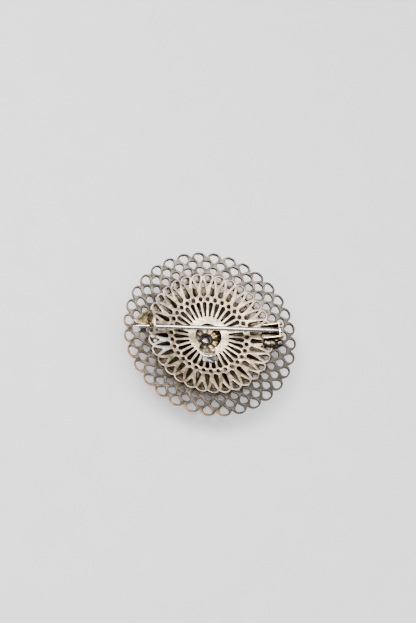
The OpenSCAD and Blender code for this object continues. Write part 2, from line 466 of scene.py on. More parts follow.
class Shader:
    """A Principled material and shorthands for its nodes.

    The sizes of features are in millimetres, and position, as the nodes give it, is in metres.
    """

    def __init__(self, name):
        self.material = bpy.data.materials.new(name)
        self.material.use_nodes = True
        self.tree = self.material.node_tree
        self.bsdf = self.tree.nodes["Principled BSDF"]
        coords = self.tree.nodes.new("ShaderNodeTexCoord")
        self.position = coords.outputs["Object"]
        self.normal = coords.outputs["Normal"]

    def node(self, kind, **inputs):
        made = self.tree.nodes.new(kind)
        for key, value in inputs.items():
            self.feed(made.inputs[key.replace("_", " ")], value)
        return made

    def feed(self, socket, value):
        if isinstance(value, bpy.types.NodeSocket):
            self.tree.links.new(value, socket)
        else:
            socket.default_value = value

    def noise(self, size, detail=4.0, rough=0.55):
        """Noise from 0 to 1 whose features are about size millimetres wide."""
        made = self.node(
            "ShaderNodeTexNoise", Vector=self.position, Scale=1 / (size * MM), Detail=detail,
            Roughness=rough,
        )
        return made.outputs["Fac"]

    def axis(self, vector, letter):
        return self.node("ShaderNodeSeparateXYZ", Vector=vector).outputs[letter]

    def vector(self, operation, a, b, result="Value"):
        made = self.tree.nodes.new("ShaderNodeVectorMath")
        made.operation = operation
        self.feed(made.inputs[0], a)
        self.feed(made.inputs[1], b)
        return made.outputs[result]

    def from_axis(self):
        """Distance from the brooch's middle axis."""
        flat = self.vector("MULTIPLY", self.position, (1, 1, 0), "Vector")
        return self.vector("DISTANCE", flat, (0, 0, 0))

    def span(self, value, low, high, to_low=0.0, to_high=1.0):
        """to_low where value is below low, to_high above high, and a smooth step between."""
        made = self.node("ShaderNodeMapRange", Value=value)
        made.interpolation_type = "SMOOTHSTEP"
        made.inputs["From Min"].default_value = low
        made.inputs["From Max"].default_value = high
        made.inputs["To Min"].default_value = to_low
        made.inputs["To Max"].default_value = to_high
        return made.outputs["Result"]

    def spots(self, size, low, high, **settings):
        """Soft spots about size millimetres apart, where noise rises from low to high."""
        return self.span(self.noise(size, **settings), low, high)

    def calc(self, operation, a, b):
        made = self.tree.nodes.new("ShaderNodeMath")
        made.operation = operation
        made.use_clamp = True
        self.feed(made.inputs[0], a)
        self.feed(made.inputs[1], b)
        return made.outputs[0]

    def mix(self, factor, a, b):
        """The colour a where factor is 0, and b where it is 1."""
        made = self.tree.nodes.new("ShaderNodeMix")
        made.data_type = "RGBA"
        self.feed(made.inputs["Factor"], factor)
        for key, colour in (("A", a), ("B", b)):
            plain = not isinstance(colour, bpy.types.NodeSocket)
            self.feed(made.inputs[key], (*colour, 1) if plain else colour)
        return made.outputs["Result"]

    def pits(self, reach, low, high, depth):
        """depth in corners and pits up to reach millimetres wide, and 0 on open faces: a mask for
        painted shade.
        """
        made = self.node("ShaderNodeAmbientOcclusion", Distance=reach * MM)
        made.samples = 8
        return self.span(made.outputs["AO"], low, high, depth, 0.0)

    def soft_normal(self, width):
        """The normal as if every edge were rounded over width millimetres."""
        soft = self.node("ShaderNodeBevel", Radius=width * MM)
        soft.samples = 6
        return soft.outputs["Normal"]

    def edge(self, width):
        """1 on sharp and small round edges, fading to 0 on faces width millimetres away."""
        flat = self.tree.nodes.new("ShaderNodeNewGeometry").outputs["True Normal"]
        return self.span(self.vector("DOT_PRODUCT", self.soft_normal(width), flat), 0.82, 0.99, 1.0, 0.0)

    def uneven(self, size, rough):
        """Roughness that wanders between the two numbers of rough."""
        return self.span(self.noise(size), 0.3, 0.7, *rough)

    def bump(self, height, strength, depth):
        made = self.node("ShaderNodeBump", Height=height, Strength=strength, Distance=depth * MM)
        self.tree.links.new(made.outputs["Normal"], self.bsdf.inputs["Normal"])

    def set(self, **inputs):
        for key, value in inputs.items():
            self.feed(self.bsdf.inputs[key.replace("_", " ")], value)


class SheetPaint(Shader):
    """Old plated sheet: each method lays one more layer over what is there."""

    def __init__(self, name, top, patina, wall, brass):
        """top is the plating, patina its blotches, wall the cut edges' painted shade, a highlight where
        it is light, brass the bare metal, also laid as painted warm light.
        """
        super().__init__(name)
        self.patina, self.wall, self.brass = patina, wall, brass
        self.colour = self.mix(self.spots(1.7, 0.40, 0.60, rough=0.65), top, patina)

    def cover(self, share, colour):
        self.colour = self.mix(share, self.colour, colour)

    def paint_side_shade(self, way):
        """Painted shade: darkens the plating towards one side of the brooch."""
        self.cover(
            self.span(self.vector("DOT_PRODUCT", self.position, way), -4 * MM, 18 * MM, 0.0, 0.85),
            darker(self.patina, 0.7),
        )

    def paint_middle_light(self, painted_light, fleck):
        """Painted light: a pale lit ring round the middle hole, with brown flecks of the metal's own
        mottling.
        """
        near = self.span(self.from_axis(), 5.5 * MM, 8.5 * MM, 0.8, 0.0)
        self.cover(near, self.mix(self.spots(0.9, 0.45, 0.58, detail=6, rough=0.7), painted_light, fleck))

    def silver(self, spot, colour):
        """Plain silver within a few millimetres of spot."""
        away = self.vector("DISTANCE", self.position, Vector(spot) * MM)
        self.cover(self.span(away, 1.8 * MM, 4.4 * MM, 0.8, 0.0), colour)

    def speck(self):
        """Specks in the colour of the cut edges."""
        self.cover(self.calc("MULTIPLY", self.spots(0.42, 0.48, 0.7, detail=6), 0.4), self.wall)

    def edges(self, colour, share):
        """Painted edge light: another colour on the faces near the cut edges, a highlight where it is
        light and shade where it is dark.
        """
        self.cover(self.calc("MULTIPLY", self.edge(0.3), share), colour)

    def walls(self, low=0.4, high=0.9, brass_share=0.4):
        """Painted shade on the cut walls in the wall colour, a painted highlight where that colour is
        light, with random stains of brass: where the normal's height is below low to high.
        """
        upright = self.span(self.axis(self.normal, "Z"), low, high, 1.0, 0.0)
        stain = self.calc("MULTIPLY", self.spots(1.4, 0.45, 0.7), brass_share)
        self.cover(upright, self.mix(stain, self.wall, self.brass))

    def paint_warm_light_on_loops(self, way):
        """Painted warm light in the brass colour on the loops' edges that face way, mostly on the outer
        ones on that side.
        """
        lit = self.span(self.vector("DOT_PRODUCT", self.soft_normal(0.35), way), 0.15, 0.55)
        side = self.span(self.vector("DOT_PRODUCT", self.position, way), 10 * MM, 16 * MM)
        outer = self.span(self.from_axis(), 20.6 * MM, 21.8 * MM, 0.15, 1.0)
        tone = self.mix(self.spots(1.1, 0.4, 0.6, detail=3), self.brass, darker(self.brass, 0.35))
        self.cover(self.calc("MULTIPLY", self.calc("MULTIPLY", side, outer), lit), tone)

    def paint_back_shade(self, black, brown):
        """Painted shade on the back: dark, lighter towards the patina colour outwards and browner on the
        lower left.
        """
        outward = self.span(self.from_axis(), 12.4 * MM, 15 * MM, 0.0, 0.55)
        leftward = self.vector("DOT_PRODUCT", self.position, (-0.6, -0.8, 0.0))
        brown_share = self.span(leftward, 6 * MM, 13 * MM, 0.0, 0.6)
        hidden = self.mix(brown_share, self.mix(outward, black, self.patina), brown)
        self.cover(self.span(self.axis(self.normal, "Z"), 0.1, 0.5), hidden)

    def bare_tops(self, start, end, colour, fade=0.3):
        """Plating worn through on top, from start to end along X."""
        x = self.axis(self.position, "X")
        past = self.span(x, start * MM, (start + fade) * MM)
        short = self.span(x, (end - fade) * MM, end * MM, 1.0, 0.0)
        upward = self.span(self.axis(self.normal, "Z"), 0.5, 0.8)
        self.cover(self.calc("MULTIPLY", self.calc("MULTIPLY", past, short), upward), colour)

    def paint_shade_below(self, height, brown, black):
        """Painted shade below height above the rim: black on the pin's +Y side and brown on the other.
        """
        low = (RIM_Z + height) * MM
        depth = self.span(self.axis(self.position, "Z"), low - 0.1 * MM, low + 0.15 * MM, 1.0, 0.0)
        far_side = self.span(self.axis(self.position, "Y"), (PIN_Y - 0.9) * MM, (PIN_Y - 0.5) * MM)
        self.cover(depth, self.mix(far_side, brown, black))

    def finished(self, metallic=1.0, rough=(0.2, 0.42)):
        """The material, with painted shade in its pits, an uneven shine and fine bumps."""
        self.cover(self.pits(0.9, 0.15, 0.75, 0.85), darker(self.wall, 0.35))
        self.set(Base_Color=self.colour, Metallic=metallic, Roughness=self.uneven(0.8, rough))
        self.bump(self.noise(0.28, detail=5), 0.35, 0.05)
        return self.material


def net_metal():
    """Dull aged brass, with painted shade towards one side, at its edges, on its cut walls and in its
    pits, and painted warm light in brass on the near loops.
    """
    paint = SheetPaint(
        "net_metal", top=(0.175, 0.134, 0.10), patina=(0.038, 0.031, 0.017),
        wall=(0.005, 0.004, 0.002), brass=(0.46, 0.19, 0.018),
    )
    paint.paint_side_shade((0.8, -0.5, 0.0))
    paint.speck()
    paint.edges((0.028, 0.022, 0.010), 0.85)
    paint.walls(0.8, 0.995, brass_share=0.12)
    paint.paint_warm_light_on_loops((-0.75, -0.65, 0.0))
    return paint.finished(0.45, (0.32, 0.55))


def rosette_metal():
    """Silvered brass, with painted highlights at its edges, a painted pool of light round the middle
    hole, painted shade towards one side, on its cut walls and in its pits, and silver beside the catch.
    """
    paint = SheetPaint(
        "rosette_metal", top=(0.66, 0.52, 0.36), patina=(0.25, 0.175, 0.12),
        wall=(0.07, 0.05, 0.026), brass=(0.22, 0.15, 0.07),
    )
    paint.paint_side_shade((0.7, 0.5, 0.0))
    paint.paint_middle_light((0.98, 0.87, 0.58), (0.52, 0.38, 0.26))
    paint.silver((-13.8, -3.4, RIM_Z - 1.2), (0.88, 0.86, 0.79))
    paint.speck()
    paint.edges((0.96, 0.90, 0.72), 0.85)
    paint.walls(0.55, 0.96)
    return paint.finished(0.85, (0.32, 0.55))


def flower_metal():
    """Gilt sheet with painted shade on its back, on its cut walls and in its pits."""
    paint = SheetPaint(
        "flower_metal", top=(0.66, 0.48, 0.20), patina=(0.30, 0.23, 0.14),
        wall=(0.22, 0.13, 0.05), brass=(0.75, 0.52, 0.18),
    )
    paint.speck()
    paint.walls()
    paint.paint_back_shade((0.02, 0.017, 0.013), (0.17, 0.13, 0.07))
    return paint.finished()


# Gilt sheet, with painted shade on its cut walls and in its pits.
def gilt_metal():
    paint = SheetPaint(
        "gilt_metal", top=(0.66, 0.48, 0.20), patina=(0.42, 0.27, 0.10),
        wall=(0.22, 0.13, 0.05), brass=(0.75, 0.52, 0.18),
    )
    paint.speck()
    paint.walls()
    return paint.finished()


def fitting_metal():
    """The hinge fork: silvered, worn to brass at the rivet, with painted shade between the ears, on its
    cut walls and in its pits.
    """
    paint = SheetPaint(
        "fitting_metal", top=(0.66, 0.58, 0.43), patina=(0.45, 0.35, 0.20),
        wall=(0.05, 0.035, 0.02), brass=(0.55, 0.30, 0.07),
    )
    paint.speck()
    paint.walls()
    paint.bare_tops(16.4, 17.7, (0.80, 0.40, 0.05))
    paint.paint_shade_below(0.12, brown=(0.11, 0.085, 0.055), black=(0.012, 0.010, 0.008))
    return paint.finished(rough=(0.2, 0.4))


def plate_metal():
    """The catch plate: dark gilding with painted highlights on its rims and cut walls."""
    paint = SheetPaint(
        "plate_metal", top=(0.11, 0.08, 0.032), patina=(0.03, 0.023, 0.011),
        wall=(0.55, 0.46, 0.28), brass=(0.60, 0.45, 0.20),
    )
    paint.speck()
    paint.edges((0.86, 0.78, 0.58), 0.8)
    paint.walls(0.7, 0.97)
    return paint.finished(rough=(0.25, 0.45))


def cup_metal():
    """The cup's gilding, with painted light and shade: bright only on two lobes, darker brown-grey on
    the -X side, black painted shade at its rim and in the crease on +X, painted shade in its pits, and
    silvery under the notch.
    """
    paint = Shader("cup_metal")
    black = (0.010, 0.008, 0.006)
    x, y = paint.axis(paint.position, "X"), paint.axis(paint.position, "Y")
    gold = paint.mix(paint.spots(0.7, 0.35, 0.65), (0.46, 0.32, 0.12), (0.20, 0.13, 0.05))
    # Darker brown-grey on the -X side.
    gold = paint.mix(paint.span(x, -1.0 * MM, 1.2 * MM), (0.16, 0.12, 0.085), gold)
    # Painted shade: black from about 3 mm out, where the cup runs under the rosette, and in the crease
    # between the lobes on +X.
    rim = paint.span(paint.from_axis(), 2.7 * MM, 3.1 * MM)
    above = paint.span(y, -0.55 * MM, -0.1 * MM)
    below = paint.span(y, 0.1 * MM, 0.5 * MM, 1.0, 0.0)
    gap = paint.calc("MULTIPLY", paint.calc("MULTIPLY", above, below), paint.span(x, 0.5 * MM, 1.5 * MM))
    colour = paint.mix(paint.calc("MAXIMUM", rim, gap), gold, black)
    silvery = paint.mix(paint.spots(0.8, 0.4, 0.6), (0.55, 0.50, 0.42), (0.33, 0.24, 0.12))
    colour = paint.mix(paint.span(y, -3.1 * MM, -2.5 * MM, 1.0, 0.0), colour, silvery)
    # Painted shade in the cup's pits and corners.
    colour = paint.mix(paint.pits(1.2, 0.1, 0.6, 0.9), colour, (0.01, 0.008, 0.006))
    paint.set(Base_Color=colour, Metallic=0.9, Roughness=paint.uneven(0.5, (0.28, 0.5)))
    paint.bump(paint.noise(0.3, detail=5), 0.4, 0.06)
    return paint.material


def hook_metal():
    """The hook's plating, with a painted highlight along one edge of the strip and painted shade in
    olive along the other.
    """
    paint = Shader("hook_metal")
    bright = paint.mix(paint.spots(0.9, 0.4, 0.65), (0.93, 0.88, 0.72), (0.62, 0.50, 0.28))
    olive = paint.mix(paint.spots(0.7, 0.4, 0.65), (0.13, 0.10, 0.055), (0.05, 0.04, 0.022))
    x = paint.axis(paint.position, "X")
    # Painted light on the +X half of the strip, painted shade on the -X half.
    painted_light = paint.span(x, (CATCH_X - 0.15) * MM, (CATCH_X + 0.1) * MM)
    paint.set(Base_Color=paint.mix(painted_light, olive, bright), Metallic=0.9)
    paint.set(Roughness=paint.uneven(0.5, (0.2, 0.42)))
    paint.bump(paint.noise(0.25, detail=5), 0.35, 0.05)
    return paint.material


def bright_metal(name, colour, shade, rough, corner_shade=0.5, grit=0.3, drawn=None):
    """Bright or glossy metal, with its shade colour in random blotches and painted shade in its corners.

    Its skin has fine grit, or drawing lines if drawn gives their stretch along each axis.
    """
    paint = Shader(name)
    tone = paint.mix(paint.spots(1.3, 0.35, 0.7), colour, shade)
    # Painted shade in the corners.
    tone = paint.mix(paint.pits(0.5, 0.1, 0.7, corner_shade), tone, darker(shade, 0.25))
    paint.set(Base_Color=tone, Metallic=1.0, Roughness=paint.uneven(0.35, rough))
    if drawn:
        stretch = paint.node("ShaderNodeMapping", Vector=paint.position, Scale=drawn)
        lines = paint.node(
            "ShaderNodeTexNoise", Vector=stretch.outputs["Vector"], Scale=900.0, Detail=3.0,
        )
        paint.bump(lines.outputs["Fac"], 0.25, 0.03)
    else:
        paint.bump(paint.noise(0.2, detail=5), grit, 0.04)
    return paint.material


def stone_glass():
    """Clear cut glass with a faint cool tint and tiny scratches on its polish."""
    paint = Shader("stone_glass")
    cloud = paint.mix(paint.noise(1.5), (0.78, 0.88, 0.95), (0.9, 0.95, 1.0))
    paint.set(Base_Color=cloud, Transmission_Weight=0.9, IOR=1.58)
    paint.set(Roughness=paint.span(paint.noise(0.3), 0.5, 0.8, 0.02, 0.09))
    paint.bump(paint.noise(0.15), 0.05, 0.01)
    return paint.material


def floor_paint():
    """Plain pale matt paper."""
    paint = Shader("pale_floor")
    paint.set(Base_Color=paint.mix(paint.noise(9.0), (0.55, 0.55, 0.57), (0.61, 0.61, 0.63)))
    paint.set(Roughness=0.9)
    paint.bump(paint.noise(0.6), 0.08, 0.05)
    return paint.material


NET_METAL = net_metal()
ROSETTE_METAL = rosette_metal()
CUP_METAL = cup_metal()
FLOWER_METAL = flower_metal()
GILT = gilt_metal()
FITTING_METAL = fitting_metal()
HOOK_METAL = hook_metal()
PLATE_METAL = plate_metal()
PIN_STEEL = bright_metal(
    "pin_steel", (0.78, 0.74, 0.70), (0.50, 0.46, 0.43), (0.10, 0.22), drawn=(0.04, 1, 1),
)
POST_METAL = bright_metal(
    "post_metal", (0.42, 0.41, 0.41), (0.20, 0.17, 0.13), (0.18, 0.35), corner_shade=0.9,
)
BRIGHT_SILVER = bright_metal(
    "bright_silver", (0.84, 0.80, 0.72), (0.42, 0.37, 0.30), (0.12, 0.35),
)
SOLDER_SILVER = bright_metal(
    "solder_silver", (0.36, 0.33, 0.29), (0.14, 0.125, 0.10), (0.34, 0.5), corner_shade=0.8,
)
DARK_TUBE = bright_metal(
    "dark_tube", (0.035, 0.035, 0.04), (0.015, 0.014, 0.014), (0.2, 0.36), corner_shade=0.8,
)
GREY_SOLDER = bright_metal(
    "grey_solder", (0.17, 0.165, 0.16), (0.035, 0.034, 0.032), (0.25, 0.5), corner_shade=0.9,
)
DARK_SOLDER = bright_metal(
    "dark_solder", (0.15, 0.125, 0.085), (0.045, 0.036, 0.026), (0.2, 0.34), corner_shade=0.8, grit=0.06,
)
STONE_GLASS = stone_glass()


# ---- openwork ----

def make_outer_net():
    holes = [circle((0, 0), NET_IN_R, 160)]
    for row, cell in enumerate(NET_CELLS):
        holes += around(fan(*cell), REPEATS, (row % 2) * STEP / 2)
    mesh = plate([scalloped(OUTER_R, LOOP_R, REPEATS)] + holes, NET_T, edge=0.19, rounds=3)
    mesh.transform(Matrix.Rotation(NET_TURN, 4, "Z"))
    dish(mesh, NET_LINE)
    place("border_openwork", mesh, "outer_net", NET_METAL)


def slot_start(angle, step=0.08):
    """Where an inner slot can start and stay clear of the worn notch."""
    r = SLOT_START
    while math.dist((r * math.cos(angle), r * math.sin(angle)), NOTCH_AT) < NOTCH_R + NOTCH_MARGIN:
        r += step
    return r


def make_back_rosette():
    half = STEP / 2
    holes = [turned(notched_hole(HOLE_R, NOTCH_AT, NOTCH_R), -ROSETTE_TURN)]
    holes += around(circle((RING_R, 0), RING_HOLE_R, 16), REPEATS)
    holes += around(fan(*PETAL_CELL), REPEATS)
    holes += around(belt(*LONG_DROP), REPEATS, half)
    for i in range(REPEATS):
        angle = half + i * STEP
        start = slot_start(angle + ROSETTE_TURN)
        holes.append(turned(belt((start, SLOT_START_R), SLOT_END, skew=SLOT_SKEW), angle))
    outside = scalloped(PETAL_R, PETAL_ROUND_R, REPEATS)
    mesh = plate([outside] + holes, ROSETTE_T, edge=0.17, rounds=3)
    mesh.transform(Matrix.Rotation(ROSETTE_TURN, 4, "Z"))
    dish(mesh, ROSETTE_LINE, wobble=0.02)
    place("rosette_openwork", mesh, "back_rosette", ROSETTE_METAL)


# ---- middle ----

def cup_flute(r, z, angle):
    """Presses round lobes into the cup's floor, with a crease between each pair."""
    swell = 0.5 - 0.5 * math.cos(CUP_LOBES * angle)
    share = clamped((r - TUBE_R) / 1.2)
    deep = clamped((CUP_TOP - z) / 1.2)
    pinch = 0.2 * share * deep * (1 - swell) ** 2
    return r - pinch, z + share * deep * (0.45 * math.sin(math.pi * swell) - 0.05)


def make_centre_cup():
    inside = [
        (SHEET_HOLE_R, CUP_FLOOR), (2.6, CUP_FLOOR - 0.05), (3.9, CUP_FLOOR + 0.2),
        (CUP_R - 0.15, CUP_TOP - 0.6), (CUP_R, CUP_TOP), (CUP_FLANGE_R, CUP_TOP + 0.05),
    ]
    outside = [
        (CUP_FLANGE_R, CUP_TOP - 0.25), (CUP_FLANGE_R - 0.25, CUP_TOP - 0.4),
        (CUP_R - 0.45, CUP_FLOOR - 0.1), (3.4, CUP_FLOOR - 0.34), (SHEET_HOLE_R, CUP_FLOOR - SHEET_T),
    ]
    mesh = lathe(rounded(inside + outside, 0.15), 190, cup_flute)
    place("gold_cup", mesh, "centre_cup", CUP_METAL)


def make_centre_tube():
    flare_back = SETTING_BACK - SHEET_T - SHEET_GAP
    profile = rounded([
        (TUBE_BORE_R, TUBE_FRONT), (TUBE_BORE_R, TUBE_BACK), (TUBE_R, TUBE_BACK),
        (TUBE_R, flare_back), (TUBE_FLARE_R, flare_back), (TUBE_FLARE_R, TUBE_FRONT),
    ], 0.13)
    place("hollow_rivet", lathe(profile, 96), "centre_tube", DARK_TUBE)


def make_centre_post():
    crown_h, head_t, steps = 0.28, 0.25, 8
    profile = [
        (0, TUBE_FRONT), (POST_HEAD_R, TUBE_FRONT), (POST_HEAD_R, TUBE_FRONT + head_t),
        (POST_R, TUBE_FRONT + head_t + 0.05),
    ]
    for i in range(steps, -1, -1):
        angle = i * math.pi / 2 / steps
        profile.append((POST_R * math.sin(angle), POST_BACK - crown_h * (1 - math.cos(angle))))
    place("post_end", lathe(profile, 64), "centre_post", POST_METAL)


def make_hole_lip():
    """A rolled edge round the notch, thinner towards its ends."""
    first, span, steps = 205, 130, 40
    path = []
    for i in range(steps + 1):
        t = i / steps
        angle = math.radians(first + span * t)
        out = Vector((math.cos(angle), math.sin(angle), 0))
        spot = Vector((*NOTCH_AT, LIP_Z)) + out * (NOTCH_R + 0.05)
        spot += 0.05 * noise.noise_vector(spot * 1.3)
        path.append((spot, out, UP, 0.3 + 0.7 * math.sin(math.pi * t ** 1.6) ** 0.6))
    mesh = sweep(path, [(1.25 * x, y) for x, y in circle((0, 0), LIP_R, 16)])
    place("notch_lip", mesh, "hole_lip", BRIGHT_SILVER)


def make_lip_solder():
    mesh = blob([
        (-1.5, -6.75, -2.45, 0.9, 0.32), (-0.1, -6.95, -2.42, 1.0, 0.36),
        (1.3, -6.55, -2.45, 0.75, 0.28), (0.6, -6.3, -2.5, 0.6, 0.25),
    ], lumps=0.16, seed=3)
    place("grey_solder_run", mesh, "lip_solder", GREY_SOLDER, smooth=ALL_SMOOTH)


def make_joint_solder():
    places = []
    for i in range(TACKS):
        angle = ROSETTE_TURN + STEP / 2 + i * 2 * math.pi / TACKS
        places.append((TACK_AT_R * math.cos(angle), TACK_AT_R * math.sin(angle), -1.33, 0.42, 0.3))
    mesh = blob(places, lumps=0.06, seed=5, voxel=0.06)
    place("petal_solder", mesh, "joint_solder", GREY_SOLDER, smooth=ALL_SMOOTH)


# ---- front ----

def flower(radius, petals, turn, back, tilt, cup, inner_r, voxel):
    """A stamped flower: round petals with a raised middle vein and a slot between each pair.

    From inner_r outwards the petals lean by tilt, and cup curls their sides.
    """
    lobe_r = radius * math.sin(math.pi / petals) * 1.02
    slot = belt((radius * 0.5, radius * 0.035), (radius * 0.76, 0.08))
    holes = [circle((0, 0), SHEET_HOLE_R, 48)] + around(slot, petals, math.pi / petals)
    outline = scalloped(radius, lobe_r, petals, per_lobe=24)
    mesh = remeshed(plate([outline] + holes, SHEET_T + 0.06, edge=0.14), voxel)

    def rule(co):
        t = clamped((math.hypot(co.x, co.y) - inner_r) / (radius - inner_r))
        angle = math.atan2(co.y, co.x)
        across = math.cos(petals * angle)
        vein = 0.14 * max(0.0, across) ** 6 * t * (1 - t) * 4
        ridge = 0.05 * math.cos(3 * petals * angle) * t
        height = back + tilt * t + cup * t * t * (0.5 - 0.5 * across) - vein - ridge
        return co + Vector((0, 0, height))
    bend(mesh, rule)
    mesh.transform(Matrix.Rotation(turn, 4, "Z"))
    return mesh


def make_flowers():
    large = flower(
        FLOWER_R, FLOWER_PETALS, FLOWER_TURN, FLOWER_BACK, tilt=1.1, cup=-0.25, inner_r=6.0, voxel=0.13,
    )
    place("large_flower", large, "front_flower", FLOWER_METAL, smooth=ALL_SMOOTH)
    small = flower(
        SMALL_R, SMALL_PETALS, SMALL_TURN, SMALL_BACK, tilt=-0.45, cup=0.25, inner_r=4.2, voxel=0.1,
    )
    place("small_flower", small, "inner_flower", FLOWER_METAL, smooth=ALL_SMOOTH)


def claw(angle, root_r, steps=12):
    """A round claw at root_r from the axis, whose front half leans in over the stone."""
    out = Vector((math.cos(angle), math.sin(angle), 0))
    side = Vector((-out.y, out.x, 0))
    path = []
    for k in range(steps + 1):
        t = k / steps
        lean = 0.62 * max(0.0, t - 0.5) ** 1.5 * 2
        spot = out * (root_r - lean) + Vector((0, 0, GIRDLE_HIGH + 0.5 - 1.1 * t))
        path.append((spot, side, out, 1.0 if t < 0.92 else 0.7))
    return sweep(path, circle((0, 0), CLAW_R, 12))


def make_claw_setting():
    wall_in = STONE_R + 0.03
    wall_out = wall_in + SETTING_WALL
    seat = GIRDLE_LOW + 0.1
    cup = lathe(rounded([
        (SHEET_HOLE_R, SETTING_BACK), (wall_out, SETTING_BACK), (wall_out, seat), (wall_in, seat),
        (wall_in, SETTING_BACK - SHEET_T), (SHEET_HOLE_R, SETTING_BACK - SHEET_T),
    ], 0.1), 96)
    claws = [claw(i * 2 * math.pi / CLAWS, wall_in + 0.2) for i in range(CLAWS)]
    place("claw_cup", joined(cup, *claws), "claw_setting", GILT)


def make_stone():
    """A round brilliant: table, crown, girdle and pavilion, as the hull of its corner rings."""
    work = bmesh.new()
    table = -RIM_Z + 0.002
    rings = (
        (TABLE_R, table, 8, 0.5), (2.55, (table + GIRDLE_LOW) / 2 - 0.06, 8, 0.0),
        (STONE_R, GIRDLE_LOW, 16, 0.0), (STONE_R, GIRDLE_HIGH, 16, 0.0),
        (1.6, (GIRDLE_HIGH + CULET_Z) / 2 + 0.05, 8, 0.5), (0.3, CULET_Z, 8, 0.0),
    )
    for r, z, count, shift in rings:
        for i in range(count):
            angle = (i + shift) * 2 * math.pi / count
            work.verts.new((r * math.cos(angle), r * math.sin(angle), z))
    bmesh.ops.convex_hull(work, input=work.verts)
    bmesh.ops.dissolve_limit(work, angle_limit=0.002, verts=work.verts, edges=work.edges)
    bmesh.ops.recalc_face_normals(work, faces=work.faces)
    mesh = finished_mesh(work, "stone")
    place("cut_stone", mesh, "centre_stone", STONE_GLASS, smooth=math.radians(1))


# ---- hinge and pin ----

def ear_outline():
    """An ear from the side, as (x, z): a round boss, a slope down to the toe and a flat foot."""
    points = arc((HINGE_X, PIN_H), EAR_BOSS_R, -math.pi / 2, math.radians(112), 20)
    points += [(16.4, 1.1), (15.2, 0.74), (EAR_START_X + 0.25, 0.45), (EAR_START_X, 0.25)]
    points += [(EAR_START_X, EAR_LOW_Z), (HINGE_X, EAR_LOW_Z)]
    return points


def make_hinge_fork():
    base_outline = box_outline(FORK_BASE_X, EAR_GAP / 2 + EAR_T / 2, FORK_CORNER_R)
    base = plate([base_outline], FORK_BASE_T, edge=0.1)
    base.transform(Matrix.Translation((0, PIN_Y, 0)))
    bore = circle((HINGE_X, PIN_H), RIVET_R + 0.05, 24)
    parts = [base]
    for side in (-1, 1):
        ear = plate([ear_outline(), bore], EAR_T, edge=0.13, rounds=3)
        ear.transform(ON_SIDE)
        ear.transform(Matrix.Translation((0, PIN_Y + side * EAR_GAP / 2 - EAR_T / 2, 0)))
        parts.append(ear)
    place("hinge_fork_metal", joined(*parts), "hinge_fork", FITTING_METAL)


def make_hinge_rivet():
    shank = EAR_GAP + EAR_T + 0.1
    dome = arc((0, 0), 1.0, 0, math.pi / 2, 6)
    top = [(RIVET_HEAD_R * x, shank / 2 + RIVET_HEAD_T * y) for x, y in dome]
    low = [(r, -z) for r, z in reversed(top)]
    mesh = lathe([(RIVET_R, -shank / 2), (RIVET_R, shank / 2), *top, *low], 32)
    mesh.transform(ON_SIDE)
    mesh.transform(Matrix.Translation((HINGE_X, PIN_Y, PIN_H)))
    place("rivet_pin", mesh, "hinge_rivet", GILT, body="rivet")


def wire_profile():
    """The wire's (radius, -x) from its head to its tip: a taper, a long shaft and a fine point."""
    head_end_x, neck_x, steps = 16.6, 10.0, 12
    profile = [(0, -HINGE_X + 0.5), (PIN_HEAD_R * 0.98, -HINGE_X + 0.7), (PIN_HEAD_R, -head_end_x)]
    for t in (0.33, 0.66, 1):
        profile.append((PIN_HEAD_R + (PIN_R - PIN_HEAD_R) * t, -head_end_x + (head_end_x - neck_x) * t))
    profile += [(PIN_R, neck_x * t) for t in (-0.5, 0, 0.5, 1)]
    profile.append((PIN_CATCH_R, -PIN_POINT_X))
    for i in range(1, steps + 1):
        t = i / steps
        radius = PIN_CATCH_R * (1 - t ** 1.6) + 0.03 * t
        profile.append((radius, -PIN_POINT_X - (PIN_TIP_X - PIN_POINT_X) * t))
    profile.append((0, -PIN_TIP_X))
    return profile


def make_pin():
    """The tapered wire and its eye round the rivet."""
    stem = lathe(wire_profile(), 40)
    stem.transform(Matrix.Rotation(-math.pi / 2, 4, "Y"))
    half = EYE_W / 2
    eye = lathe(rounded([
        (EYE_BORE_R, -half), (EYE_R, -half), (EYE_R, half), (EYE_BORE_R, half),
    ], 0.12), 64)
    eye.transform(ON_SIDE)
    eye.transform(Matrix.Translation((HINGE_X, 0, 0)))
    mesh = joined(stem, eye)
    mesh.transform(Matrix.Translation((0, PIN_Y, PIN_H)))
    place("pin_wire", mesh, "pin_stem", PIN_STEEL, body="pin")


def make_hinge_solder():
    mesh = blob([
        (14.7, -2.5, -0.6, 1.0, 0.85), (16.3, -2.75, -0.45, 1.35, 1.25), (18.5, -2.5, -0.65, 1.0, 0.95),
        (15.4, -2.7, -0.55, 1.15, 1.0), (17.5, -2.8, -0.7, 1.0, 0.8), (17.4, -3.3, -0.8, 0.8, 0.5),
    ], lumps=0.12, seed=7, smooth=40)
    place("dark_solder_lump", mesh, "hinge_solder", DARK_SOLDER, smooth=ALL_SMOOTH)


# ---- catch ----

def make_catch_plate():
    """The plate, with a folded rim along its far edges."""
    outline = [
        (PLATE_RIGHT_X, 5.6), (CATCH_X - 0.6, 5.4), (-18.4, 4.0), (-20.2, 2.5), (-19.6, 1.8),
        (-18.0, 1.35), (PLATE_RIGHT_X, 1.1),
    ]
    rim = [Vector((x, y, -0.04)) for x, y in outline[1:5]]
    path = []
    for i, spot in enumerate(rim):
        along = (rim[min(i + 1, len(rim) - 1)] - rim[max(i - 1, 0)]).normalized()
        path.append((spot, along.cross(UP), UP, 1.0))
    fold = sweep(path, circle((0, 0), 0.17, 12))
    mesh = joined(plate([outline], PLATE_T, edge=0.1), fold)
    place("catch_plate_metal", mesh, "catch_plate", PLATE_METAL)


